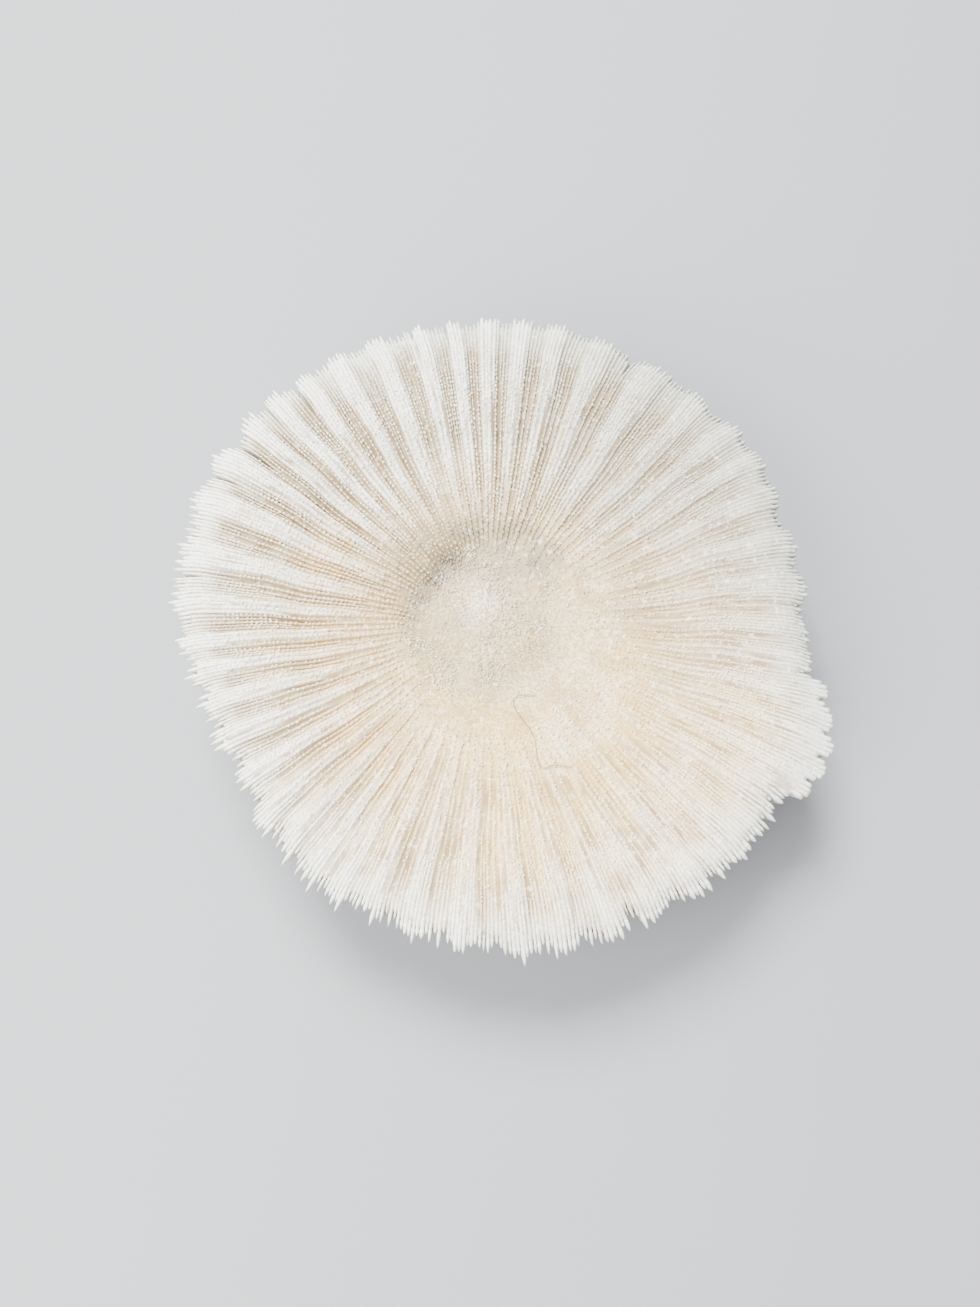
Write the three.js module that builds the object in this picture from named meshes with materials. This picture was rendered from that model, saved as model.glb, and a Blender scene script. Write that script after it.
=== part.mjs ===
// The skeleton of a mushroom coral (family Fungiidae): one free-living polyp's disc of aragonite.
// It lies as such skeletons are shown, on the dome of its mouth side, with its underside up: a
// round scar in a shallow basin, fine ribs running out from it over two low terraces and a few
// dozen folds, and a thin toothed margin. It grew in one piece, so it is one closed solid.
// Millimetres and degrees, +Z up. The outline is drawn about the scar, and the finished solid is
// moved so that its origin is at the middle of its box, on the surface that it rests on.
import * as THREE from 'three';

// Driving dimensions.
const MEAN_RADIUS = 62.6; // from the scar's centre to the tips of the marginal teeth
const SCAR_HEIGHT = 23.5; // of the scar above the surface that the coral rests on
const MARGIN_THICKNESS = 2.4; // at the roots of the teeth
const TOOTH_LENGTH = 2.6;

// How the outline leaves the circle: further from the scar on one side, then broad lobes (+)
// and bays (-), each at an angle, by so many millimetres, over so many degrees.
const LEAN = { by: 2.8, towards: 75 };
const LOBES = [
  { at: 10, by: -1.8, spread: 14 },
  { at: 140, by: 1.6, spread: 16 },
  { at: 205, by: -4.3, spread: 22 },
  { at: 275, by: 2.6, spread: 20 },
  { at: 312, by: 3.8, spread: 24 },
  { at: 338, by: 4.4, spread: 10 },
];

// The underside, as heights over shares of the radius, from the scar (0) to the margin (1).
const MOAT = { share: 0.18, width: 0.04, depth: 0.5 }; // the low ring round the scar
const TERRACES = [
  { from: 0.19, to: 0.29, rise: 2.0, lean: 0.5, towards: 125 },
  { from: 0.55, to: 0.69, rise: 1.8, lean: 0.5, towards: 100 },
];
const SLOPE = 1.2; // rise of the ground between the terraces, over the whole radius
const DROOP = { from: 0.86, fall: 2.0 }; // the margin curls down
const FOLDS = { count: 46, height: 0.55, from: 0.34, to: 0.66, lean: 0.4, towards: 150 };
const RIBS = { height: 0.22, from: 0.1, to: 0.4 };

// The mouth side.
const RESTING_RING = 22; // radius of the flat crown of the dome, which the coral rests on
const DOME_POWER = 1.75; // how the dome climbs from there to the margin
const VALLEY = { depth: 1.3, from: 0.42, to: 0.7 }; // the valleys between the septa, by share
const MOUTH = { length: 24, width: 9, depth: 8, angle: 28 }; // the slit where the septa meet

// The grid: rings of points about the scar. The ribs double in number twice on the way out, as
// new ones grow in between the old, so every second column of a ring is a rib.
const UNDERSIDE_ZONES = [
  { columns: 48, from: 0.07, to: 0.19, rings: 3 },
  { columns: 96, from: 0.24, to: 0.34, rings: 3 },
  { columns: 192, from: 0.42, to: 0.95, rings: 7 },
];
const MOUTH_SIDE_ZONES = [
  { columns: 192, from: 0.95, to: 0.5, rings: 6 },
  { columns: 96, from: 0.43, to: 0.3, rings: 3 },
];
const MOUTH_RINGS = { columns: 48, radii: [12, 9.5, 7, 4.5, 2] };

const radians = THREE.MathUtils.degToRad;
const smoothstep = THREE.MathUtils.smoothstep;

// A smooth hump or hollow: 1 at no distance, fading to 0 a few widths away.
function bump(distance, width) {
  return Math.exp(-((distance / width) ** 2));
}

// How far one angle is from another, in degrees, from -180 to 180.
function turn(angle, from) {
  return THREE.MathUtils.euclideanModulo(THREE.MathUtils.radToDeg(angle) - from + 180, 360) - 180;
}

// What is stronger on one side of the disc than on the other: a factor around 1.
function lean(angle, { lean: share, towards }) {
  return 1 + share * Math.cos(angle - radians(towards));
}

// Radius of the outline, through the tips of the teeth.
function outline(angle) {
  let radius = MEAN_RADIUS + LEAN.by * Math.cos(angle - radians(LEAN.towards));
  for (const lobe of LOBES) {
    radius += lobe.by * bump(turn(angle, lobe.at), lobe.spread);
  }
  return radius;
}

// Radial folds of uneven width, which grow in between the scar and the outer terrace.
function foldHeight(angle, share) {
  const uneven = 1.9 * Math.sin(3 * angle + 0.6) + 1.2 * Math.sin(7 * angle + 2.1);
  const grown = smoothstep(share, FOLDS.from, FOLDS.to) * (1 - 0.6 * smoothstep(share, 0.85, 1));
  return FOLDS.height * grown * lean(angle, FOLDS) * Math.sin(FOLDS.count * angle + uneven);
}

function undersideHeight(angle, share) {
  let height = SCAR_HEIGHT + SLOPE * share;
  height -= MOAT.depth * bump(share - MOAT.share, MOAT.width);
  for (const terrace of TERRACES) {
    height += terrace.rise * lean(angle, terrace) * smoothstep(share, terrace.from, terrace.to);
  }
  height -= DROOP.fall * smoothstep(share, DROOP.from, 1);
  return height + foldHeight(angle, share);
}

// The dome of the mouth side, flat on the resting ring and climbing to the margin.
function domeHeight(angle, share) {
  const start = RESTING_RING / outline(angle);
  const climb = Math.max(0, (share - start) / (1 - start)) ** DOME_POWER;
  return climb * (undersideHeight(angle, 1) - MARGIN_THICKNESS);
}

// The mouth: a slit with rounded ends, deepest along its middle line.
function mouthHeight(x, y) {
  const along = x * Math.cos(radians(MOUTH.angle)) + y * Math.sin(radians(MOUTH.angle));
  const across = y * Math.cos(radians(MOUTH.angle)) - x * Math.sin(radians(MOUTH.angle));
  const halfLine = (MOUTH.length - MOUTH.width) / 2;
  const pastEnd = Math.max(0, Math.abs(along) - halfLine);
  const away = Math.hypot(pastEnd, across);
  return MOUTH.depth * (1 - smoothstep(away, 0, MOUTH.width / 2));
}

// One ring of points: place(angle, column) gives each point's radius and height.
function ring(columns, place) {
  const points = [];
  for (let column = 0; column < columns; column += 1) {
    const angle = (2 * Math.PI * column) / columns;
    const { radius, height } = place(angle, column);
    points.push(new THREE.Vector3(radius * Math.cos(angle), radius * Math.sin(angle), height));
  }
  return points;
}

// +1 on a rib's column and -1 on the valley beside it.
function ribSide(column) {
  return column % 2 === 0 ? 1 : -1;
}

// The shares of the radius at which a zone's rings lie.
function zoneShares({ from, to, rings }) {
  return Array.from({ length: rings }, (_, step) => from + ((to - from) * step) / (rings - 1));
}

// The rings of all zones; height(angle, share, column) gives each point's height.
function zoneRings(zones, height) {
  return zones.flatMap((zone) => zoneShares(zone).map((share) => ring(zone.columns, (angle, column) => ({
    radius: share * outline(angle),
    height: height(angle, share, column),
  }))));
}

function undersideRings() {
  return zoneRings(UNDERSIDE_ZONES, (angle, share, column) => {
    const rib = RIBS.height * smoothstep(share, RIBS.from, RIBS.to);
    return undersideHeight(angle, share) + ribSide(column) * rib;
  });
}

// The teeth: every second point reaches the outline, and those between stay a tooth's length in.
function toothRing() {
  const { columns } = UNDERSIDE_ZONES.at(-1);
  return ring(columns, (angle, column) => {
    const tip = ribSide(column) > 0;
    const root = 1 - TOOTH_LENGTH / outline(angle);
    const share = tip ? 1 : root;
    const middle = undersideHeight(angle, share) - MARGIN_THICKNESS / 2;
    return { radius: share * outline(angle), height: middle };
  });
}

// The septa stand on the dome itself, and every second column sinks between them.
function mouthSideRings() {
  return zoneRings(MOUTH_SIDE_ZONES, (angle, share, column) => {
    const valley = ribSide(column) < 0 ? VALLEY.depth * smoothstep(share, VALLEY.from, VALLEY.to) : 0;
    return domeHeight(angle, share) + valley;
  });
}

function mouthRings() {
  return MOUTH_RINGS.radii.map((radius) => ring(MOUTH_RINGS.columns, (angle) => ({
    radius,
    height: mouthHeight(radius * Math.cos(angle), radius * Math.sin(angle)),
  })));
}

// The triangles between two neighbouring rings, given as where each starts and how many points it
// has: the same number, or twice or half as many.
function stitch(first, second) {
  const triangles = [];
  const fewer = Math.min(first.count, second.count);
  const a = (index) => first.start + (index % first.count);
  const b = (index) => second.start + (index % second.count);
  for (let i = 0; i < fewer; i += 1) {
    if (first.count === second.count) {
      triangles.push([a(i), b(i), b(i + 1)], [a(i), b(i + 1), a(i + 1)]);
    } else if (first.count < second.count) {
      const j = 2 * i;
      triangles.push([a(i), b(j), b(j + 1)], [a(i), b(j + 1), a(i + 1)], [a(i + 1), b(j + 1), b(j + 2)]);
    } else {
      const j = 2 * i;
      triangles.push([a(j), b(i), a(j + 1)], [a(j + 1), b(i), b(i + 1)], [a(j + 1), b(i + 1), a(j + 2)]);
    }
  }
  return triangles;
}

// The closed skin: from the middle of the scar outwards, round the teeth, and back under the
// disc to the middle of the mouth.
function skin() {
  const rings = [...undersideRings(), toothRing(), ...mouthSideRings(), ...mouthRings()];
  const scarCentre = new THREE.Vector3(0, 0, undersideHeight(0, 0));
  const mouthCentre = new THREE.Vector3(0, 0, mouthHeight(0, 0));
  const points = [scarCentre, ...rings.flat(), mouthCentre];

  const spans = [];
  let start = 1;
  for (const { length } of rings) {
    spans.push({ start, count: length });
    start += length;
  }
  const triangles = spans.slice(1).flatMap((span, index) => stitch(spans[index], span));
  const [inner] = spans;
  const last = spans.at(-1);
  for (let i = 0; i < inner.count; i += 1) {
    triangles.push([0, inner.start + i, inner.start + ((i + 1) % inner.count)]);
    triangles.push([points.length - 1, last.start + ((i + 1) % last.count), last.start + i]);
  }

  const geometry = new THREE.BufferGeometry().setFromPoints(points);
  geometry.setIndex(triangles.flat());
  geometry.computeVertexNormals();
  return geometry;
}

function aragonite() {
  return new THREE.MeshStandardMaterial({ color: '#e9e1d3', roughness: 0.85, metalness: 0 });
}

function coral() {
  const mesh = new THREE.Mesh(skin(), aragonite());
  mesh.name = 'coral';
  mesh.geometry.computeBoundingBox();
  const middle = mesh.geometry.boundingBox.getCenter(new THREE.Vector3());
  mesh.position.set(-middle.x, -middle.y, -mesh.geometry.boundingBox.min.z);
  return mesh;
}

const mushroomCoral = new THREE.Group();
mushroomCoral.add(coral());

export default mushroomCoral;
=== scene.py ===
"""A mushroom coral's skeleton, underside up: body, granular ribs, toothed margin, light stain and
painted shade.
"""

import math

import bpy
import numpy as np
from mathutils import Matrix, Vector


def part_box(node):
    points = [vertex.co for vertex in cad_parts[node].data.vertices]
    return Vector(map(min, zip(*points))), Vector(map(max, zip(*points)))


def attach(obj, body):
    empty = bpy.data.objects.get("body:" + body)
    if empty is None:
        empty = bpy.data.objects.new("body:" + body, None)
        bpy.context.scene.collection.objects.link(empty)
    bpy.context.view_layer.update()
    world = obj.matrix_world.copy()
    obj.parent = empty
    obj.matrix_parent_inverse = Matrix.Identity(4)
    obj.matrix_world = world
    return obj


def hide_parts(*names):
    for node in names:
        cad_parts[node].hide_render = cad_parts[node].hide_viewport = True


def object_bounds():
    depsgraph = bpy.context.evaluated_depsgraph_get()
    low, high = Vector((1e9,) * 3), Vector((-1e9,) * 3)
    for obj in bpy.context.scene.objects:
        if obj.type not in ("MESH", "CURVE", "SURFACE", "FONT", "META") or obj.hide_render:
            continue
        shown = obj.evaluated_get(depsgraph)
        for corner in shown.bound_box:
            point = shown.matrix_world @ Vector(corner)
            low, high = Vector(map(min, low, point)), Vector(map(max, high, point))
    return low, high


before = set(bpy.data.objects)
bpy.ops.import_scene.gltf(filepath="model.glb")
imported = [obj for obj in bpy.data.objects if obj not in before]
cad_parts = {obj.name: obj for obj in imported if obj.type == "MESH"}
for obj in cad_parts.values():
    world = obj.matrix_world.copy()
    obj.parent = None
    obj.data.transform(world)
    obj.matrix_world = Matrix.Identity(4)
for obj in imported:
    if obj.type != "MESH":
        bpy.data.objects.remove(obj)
cad_low, cad_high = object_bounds()

# --- Driving dimensions, in millimetres, degrees and shares of the radius ---
# The outline and the two faces are the CAD model's. "Share" is the distance from the scar's
# centre over the outline's radius in that direction, from 0 to 1. Angles run from the right,
# anticlockwise seen from above, so the back is at 90 and the front at 270.

MM = 0.001
TURN = 2 * math.pi

MEAN_RADIUS = 62.6
LEAN_BY, LEAN_TOWARDS = 2.8, 75
# (angle, by how much, over how many degrees)
LOBES = (
    (10, -1.8, 14),
    (140, 1.6, 16),
    (205, -4.3, 22),
    (275, 2.6, 20),
    (312, 3.8, 24),
    (338, 4.4, 10),
)

SCAR_HEIGHT = 23.5
SLOPE = 1.2
MOAT_SHARE, MOAT_WIDTH, MOAT_DEPTH = 0.18, 0.04, 0.5
# (from share, to share, rise, how much more on one side, which side)
TERRACES = (
    (0.19, 0.29, 2.0, 0.5, 125),
    (0.55, 0.69, 1.8, 0.5, 100),
)
DROOP_FROM, DROOP_FALL = 0.86, 2.0
FOLD_COUNT, FOLD_HEIGHT = 46, 0.55
FOLD_FROM, FOLD_TO = 0.3, 0.6
FOLD_LEAN, FOLD_TOWARDS = 0.4, 150

MARGIN_THICKNESS = 2.4
RESTING_RING = 22
DOME_POWER = 1.75
MOUTH_LENGTH, MOUTH_WIDTH, MOUTH_DEPTH, MOUTH_ANGLE = 24, 9, 8, 28

# The fine build, which the CAD model leaves out.
RIBS = 480
GRANULE_STEP = 0.86  # along a rib
GRANULE_SIZE = 0.25
SCAR_GRANULES, SCAR_REACH = 4200, 16  # how many loose grains lie on the scar, and how far out
GROOVE_DEPTH = 0.42
SLIT_DEPTH = 1.6
TOOTH_LENGTH, TOOTH_LEAN, TOOTH_SHORTEST_AT = 2.5, 1.2, 60
TOOTH_STEPS = 6  # sections in a rib's free end
SHORTEST_TOOTH = 0.6
SIDES = 8  # points in a rib's section
SHARP_SIDE = 130  # the back left, where the relief is sharp; opposite, it is worn and fused
SEPTA_FLOOR, SEPTA_DEEPER = 0.7, 2.4  # how deep the ground lies between the septa

rng = np.random.default_rng(7)


# --- Shape of the coral ---


def smoothstep(value, low, high):
    t = np.clip((value - low) / (high - low), 0, 1)
    return t * t * (3 - 2 * t)


def bump(distance, width):
    return np.exp(-((distance / width) ** 2))


def lean(angle, share, towards):
    return 1 + share * np.cos(angle - math.radians(towards))


def lattice_noise(values, x, y):
    """Smooth noise from a lattice of random values, which repeats at its edges."""
    columns, rows = values.shape
    left, low = np.floor(x).astype(int), np.floor(y).astype(int)
    across, up = smoothstep(x - left, 0, 1), smoothstep(y - low, 0, 1)

    def column(index):
        index = index % columns
        return values[index, low % rows] * (1 - up) + values[index, (low + 1) % rows] * up

    return column(left) * (1 - across) + column(left + 1) * across


def noise_round(values, angle, y):
    """Smooth noise round the disc, with each column of the lattice used once."""
    return lattice_noise(values, angle / TURN * len(values), y)


def lattice(columns, rows=64):
    return rng.uniform(-1, 1, (columns, rows))


WARP = lattice(24)  # slow bends of the ribs
WAVE = lattice(60)  # quick bends of the ribs
PHASE = lattice(120)  # where the granules start along a rib
UNEVEN = lattice(FOLD_COUNT)  # strong and weak folds
SCALLOPS = lattice(48)  # of the margin
NICKS = lattice(160)  # of the margin
PATCHES = lattice(40)  # of stain
GRAIN = lattice(64)  # of the scar
FINE_GRAIN = lattice(64)
BANDS = lattice(10)  # broad swells of the terraces and bands of stain
FADES = lattice(90)  # where the grooves are worn away

# Where the margin is chipped or grew apart: (angle, depth, half width), in degrees but the depth
NOTCHES = (
    (267, 1.6, 1.1),
    (295.5, 2.4, 0.9),
    (326.5, 2.0, 2.0),
    (351, 1.8, 2.5),
    (212, 1.2, 1.6),
    (190, 1.2, 1.8),
    (104, 1.3, 0.6),
    (129, 1.0, 0.6),
    (144, 1.8, 1.0),
    (62, 1.2, 0.8),
)

# Broad round petals, where the margin has fused right out to the outline: (angle, width)
PETALS = ((330.7, 3.6), (334.9, 4.0), (339.0, 3.6), (343.4, 4.6), (347.9, 3.4))
PETAL_REACH = 2.6  # from the notches between the petals to their tips

# Narrow slits between two ribs that never met: (angle, share at which it opens)
SLITS = (
    (104.25, 0.82),
    (129.0, 0.84),
    (135.75, 0.9),
    (144.0, 0.8),
    (150.75, 0.88),
    (97.5, 0.9),
    (171.0, 0.9),
    (62.25, 0.9),
    (210.75, 0.93),
)


def turn(angle, at):
    """How far an angle, in radians, is from one in degrees: in degrees, from -180 to 180."""
    return (np.degrees(angle) - at + 180) % 360 - 180


def outline(angle):
    radius = MEAN_RADIUS + LEAN_BY * np.cos(angle - math.radians(LEAN_TOWARDS))
    for at, by, spread in LOBES:
        radius = radius + by * bump(turn(angle, at), spread)
    return radius


def bend(angle, share):
    """How far aside a rib runs at this share, in radians. Neighbours bend together."""
    slow = noise_round(WARP, angle, 3 * share)
    quick = noise_round(WAVE, angle, 6 * share)
    return share * (0.020 * slow + 0.007 * quick)


def fold(angle):
    """-1 in a trough between two folds and 1 on a crest: both broad, with steep sides between."""
    uneven = 1.9 * np.sin(3 * angle + 0.6) + 1.2 * np.sin(7 * angle + 2.1)
    return np.tanh(1.5 * np.sin(FOLD_COUNT * angle + uneven)) / math.tanh(1.5)


def fold_height(angle, share):
    straight = angle - bend(angle, share)
    grown = smoothstep(share, FOLD_FROM, FOLD_TO) * (1 - 0.6 * smoothstep(share, 0.85, 1))
    strength = 0.72 + 0.35 * noise_round(UNEVEN, straight, 2.5 * share) - 0.3 * forward(angle)
    height = FOLD_HEIGHT * lean(angle, FOLD_LEAN, FOLD_TOWARDS)
    return height * grown * strength * fold(straight)


def underside_height(angle, share):
    height = SCAR_HEIGHT + SLOPE * share - MOAT_DEPTH * bump(share - MOAT_SHARE, MOAT_WIDTH)
    wandering = share + 0.022 * noise_round(BANDS, angle, 5 * share)
    for low, high, rise, more, towards in TERRACES:
        height = height + rise * lean(angle, more, towards) * smoothstep(wandering, low, high)
    return height - DROOP_FALL * smoothstep(share, DROOP_FROM, 1) + fold_height(angle, share)


def dome_height(angle, share):
    start = RESTING_RING / outline(angle)
    climb = np.maximum(0, (share - start) / (1 - start)) ** DOME_POWER
    return climb * (underside_height(angle, 1.0) - MARGIN_THICKNESS)


def mouth_height(x, y):
    slant = math.radians(MOUTH_ANGLE)
    along = x * math.cos(slant) + y * math.sin(slant)
    across = y * math.cos(slant) - x * math.sin(slant)
    past_end = np.maximum(0, np.abs(along) - (MOUTH_LENGTH - MOUTH_WIDTH) / 2)
    return MOUTH_DEPTH * (1 - smoothstep(np.hypot(past_end, across), 0, MOUTH_WIDTH / 2))


def forward(angle):
    """0 at the back left, where the relief is sharp, to 1 at the front right, where it is worn."""
    return 0.5 - 0.5 * np.cos(angle - math.radians(SHARP_SIDE))


def retreat(angle):
    """How far the margin stays inside the outline: scallops, small nicks and notches."""
    deeper = 0.85 + 0.45 * bump(turn(angle, 175), 45)
    depth = deeper * (1 + noise_round(SCALLOPS, angle, 0.5)) - 0.5 * fold(angle)
    depth = depth + 0.55 * noise_round(NICKS, angle, 0.5)
    for at, by, spread in NOTCHES:
        depth = depth + by * bump(turn(angle, at), spread)
    return np.maximum(depth, 0)


def in_petals(angle):
    """1 along the stretch of the margin that has fused into petals, 0 elsewhere."""
    ends = [at + side * width / 2 for at, width in PETALS for side in (-1, 1)]
    middle, reach = (min(ends) + max(ends)) / 2, (max(ends) - min(ends)) / 2
    return 1 - smoothstep(np.abs(turn(angle, middle)), reach, reach + 1)


def petal(angle):
    """1 in the middle of a petal of the margin, falling to 0 at its sides in a half round."""
    reach = 0.0 * angle
    for at, width in PETALS:
        aside = 2 * turn(angle, at) / width
        reach = np.maximum(reach, np.sqrt(np.clip(1 - aside**2, 0, 1)))
    return reach


def tooth_length(angle):
    """How far the longest teeth stand out past the rim: short at the back, long at the front."""
    return TOOTH_LENGTH - TOOTH_LEAN * np.cos(angle - math.radians(TOOTH_SHORTEST_AT))


def rim(angle):
    """The share at which the plate between the ribs ends and only teeth go on."""
    gap = (tooth_length(angle) + retreat(angle)) * (1 - 0.8 * petal(angle))
    return 1 - gap / outline(angle)


def pitch(radius):
    """Distance between neighbouring ribs. Their number grows eightfold on the way out."""
    grown = smoothstep(radius, 9, 14) / 8 + smoothstep(radius, 18, 30) / 4
    grown = grown + smoothstep(radius, 34, 52) / 2
    return radius * TURN / (RIBS * (1 / 8 + grown))


def fusion(angle, share):
    """How far neighbouring ribs are grown together: on folds, at the front and at the rim."""
    on_fold = 0.92 * smoothstep(fold(angle), -0.3, 0.5) * smoothstep(share, 0.3, 0.6)
    at_front = 0.72 * smoothstep(forward(angle), 0.0, 0.75)
    at_rim = np.maximum(0.6, in_petals(angle)) * smoothstep(share, 0.8, 0.92)
    return 1 - (1 - on_fold) * (1 - at_front) * (1 - at_rim)


def slit(angle, share, width=0.32):
    """1 along a slit of the margin, fading to 0 a few widths away. width is in degrees."""
    opened = 0.0 * angle * share
    for at, start in SLITS:
        along = smoothstep(share, start - 0.03, start + 0.03)
        opened = opened + bump(turn(angle, at), width) * along
    return opened


def parting(angle, share):
    """How far a rib stands aside to leave a slit open, in radians."""
    aside = 0.0 * share
    for at, start in SLITS:
        away = turn(angle, at)
        along = smoothstep(share, start - 0.03, start + 0.06)
        aside = aside + 0.25 * np.sign(away) * bump(away, 0.7) * along
    return np.radians(aside)


def opening(angle, share):
    """How far the grooves have opened, from 0 at the scar to 1: late where the ribs fade in."""
    late = forward(angle)
    return smoothstep(share, 0.17 + 0.1 * late, 0.3 + 0.32 * late)


def groove_depth(angle, share):
    open_share = 1 - 0.93 * fusion(angle, share)
    worn = noise_round(FADES, angle, 14 * share)
    clear = 1 - forward(angle) * (0.4 + 0.4 * worn)
    groove = GROOVE_DEPTH * open_share * clear * opening(angle, share)
    return groove + SLIT_DEPTH * slit(angle, share)


def stain(angle, share):
    """How stained a place is, from 0 to 1, with painted shade added in: stain most in the troughs
    and on the left, painted shade on the basin's wall behind the scar and on the outer terrace's
    wall towards the back.
    """
    trough = 0.25 + 0.75 * smoothstep(-fold(angle), -0.5, 0.6)
    patch = 0.35 + 0.65 * smoothstep(noise_round(PATCHES, angle, 6 * share), -0.5, 0.5)
    side = 0.62 + 0.38 * np.cos(angle - math.radians(140))
    band = smoothstep(share, 0.2, 0.34) * (1 - 0.85 * smoothstep(share, 0.8, 0.95))
    # painted shade of the basin's wall behind the scar, added to the stain
    basin_shade = 2.0 * bump(share - 0.24, 0.06) * smoothstep(forward(angle), 0.75, 0.1)
    sides = bump(turn(angle, 195), 50) + 0.8 * bump(turn(angle, 5), 40)
    scar_edge = 0.7 * bump(share - 0.14, 0.055) * sides
    ring = smoothstep(noise_round(BANDS, angle, 17 * share), 0.0, 0.7) * band
    # painted shade of the outer terrace's wall towards the back, added to the stain
    terrace_shade = 0.5 * bump(share - 0.66, 0.1) * (1 - forward(angle))
    right = 0.8 * bump(share - 0.37, 0.15) * bump(turn(angle, 18), 52)
    broad = (basin_shade + terrace_shade + right) * (0.4 + 0.6 * patch) + scar_edge
    in_troughs = (0.9 + 0.4 * smoothstep(share, 0.4, 0.6)) * trough * patch * side * band
    return np.clip(in_troughs + broad + 0.4 * ring, 0, 1)


def cream(angle, share):
    """How creamy a place is, from 0 to 1: in the middle, more and further out at the front."""
    late = forward(angle)
    faded = smoothstep(share, 0.6 + 0.15 * late, 0.92 + 0.03 * late)
    return (0.75 + 0.25 * late) * (1 - faded)


def crust(angle, share):
    """How thickly white lime covers a place, from 0 to 1: on crests and the back of the scar."""
    crest = smoothstep(fold(angle), -0.1, 0.6)
    side = 0.68 + 0.32 * np.cos(angle - math.radians(150))
    right = share * MEAN_RADIUS * np.cos(angle)
    back = share * MEAN_RADIUS * np.sin(angle)
    on_scar = 0.6 * bump(np.hypot(right + 1, back - 4.5), 4.2)
    return crest * side * smoothstep(share, 0.28, 0.55) + on_scar


# --- Meshes ---


class Build:
    """Points, faces and values per point of one piece, gathered from its parts."""

    def __init__(self):
        self.points, self.faces, self.map = [], [], []
        self.count = 0
        self.values = {"share": [], "depth": [], "stain": [], "crust": [], "cream": []}

    def add(self, points, faces, places, **values):
        """places is each face corner's place on the piece's texture map, in the faces' order."""
        for quads in faces:
            self.faces += (quads + self.count).tolist()
        self.map += [place.reshape(-1, 2) for place in places]
        self.points.append(points)
        self.count += len(points)
        for name, store in self.values.items():
            store.append(values[name])


def to_frame(points):
    """Points about the scar's centre, in millimetres, to metres in the frame's CAD box."""
    angles = np.linspace(0, TURN, 720, endpoint=False)
    edge = np.stack([outline(angles) * np.cos(angles), outline(angles) * np.sin(angles)], 1)
    middle = (edge.min(0) + edge.max(0)) / 2
    low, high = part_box("coral")
    moved = points * MM
    moved[:, 0] += (low[0] + high[0]) / 2 - middle[0] * MM
    moved[:, 1] += (low[1] + high[1]) / 2 - middle[1] * MM
    moved[:, 2] += low[2]
    return moved


def make_mesh(name, points, faces, material):
    """A smooth object of one material, with its points given about the scar's centre."""
    mesh = bpy.data.meshes.new(name)
    mesh.from_pydata(to_frame(points).tolist(), [], faces)
    mesh.polygons.foreach_set("use_smooth", np.ones(len(mesh.polygons), bool))
    mesh.materials.append(material)
    made = bpy.data.objects.new(name, mesh)
    bpy.context.scene.collection.objects.link(made)
    return made


def make_piece(name, build, material):
    """A piece of the coral, with its values per point and its texture map."""
    piece = make_mesh(name, np.concatenate(build.points), build.faces, material)
    for key, parts in build.values.items():
        layer = piece.data.attributes.new(key, "FLOAT", "POINT")
        layer.data.foreach_set("value", np.concatenate(parts).astype(np.float32))
    bake_map = piece.data.uv_layers.new(name="OFBake")
    bake_map.data.foreach_set("uv", np.concatenate(build.map).astype(np.float32).ravel())
    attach(piece, "root")
    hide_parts("coral")
    return piece


def polar(angle, radius, height):
    return np.stack([radius * np.cos(angle), radius * np.sin(angle), height], -1)


def tube_faces(count, sides=SIDES):
    """Faces of a closed tube of count sections, whose last two points are its two ends."""
    base = np.arange(count - 1)[:, None] * sides
    here, beside = base + np.arange(sides), base + (np.arange(sides) + 1) % sides
    quads = np.stack([here, here + sides, beside + sides, beside], -1).reshape(-1, 4)
    inner, outer = np.arange(sides), (count - 1) * sides + np.arange(sides)
    fan_in = np.stack([np.full(sides, count * sides), inner, np.roll(inner, -1)], 1)
    fan_out = np.stack([np.full(sides, count * sides + 1), np.roll(outer, -1), outer], 1)
    return quads, fan_in, fan_out


def tube_points(sections, ends):
    """A tube's points in tube_faces' order: sections holds one side's points after the other's."""
    return np.concatenate([np.stack(sections, 1).reshape(-1, 3), ends])


# --- Body: the wall between the ribs ---

SCAR_RINGS, FACE_RINGS, UNDER_RINGS = 44, 52, 46
SCAR_SHARE = 0.21

# The mouth side is cleaner than the underside.
MOUTH_SIDE_DEPTH, MOUTH_SIDE_STAIN_AND_SHADE, MOUTH_SIDE_CREAM = 0.5, 0.2, 0.5

# Where the body's two faces lie on its texture map: (middle, radius)
UPPER_DISC = (0.37, 0.36)
LOWER_DISC = (0.865, 0.13)


def scar_grain(x, y, share):
    """Fine grain and slow swells on the scar, fading out towards the ribs."""
    coarse = lattice_noise(GRAIN, 1.4 * x, 1.4 * y)
    fine = lattice_noise(FINE_GRAIN, 2.3 * x, 2.3 * y)
    slow = lattice_noise(GRAIN, 0.2 * x + 9, 0.2 * y + 5)
    on_scar = 1 - smoothstep(share, 0.18, 0.32)
    return on_scar * (0.05 * coarse + 0.04 * fine + 0.3 * slow) + 0.02 * fine


def upper_face(angle, share):
    """Height of the ground between the ribs, on the side that faces up."""
    radius = share * outline(angle)
    grain = scar_grain(radius * np.cos(angle), radius * np.sin(angle), share)
    groove = groove_depth(angle - bend(angle, share), share)
    return underside_height(angle, share) - groove + grain


def lower_face(angle, share):
    """Height of the ground between the septa, and of the mouth's floor."""
    radius = share * outline(angle)
    recess = SEPTA_FLOOR + SEPTA_DEEPER * smoothstep(share, 0.3, 0.95)
    mouth = mouth_height(radius * np.cos(angle), radius * np.sin(angle))
    return dome_height(angle, share) + recess + mouth


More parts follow.
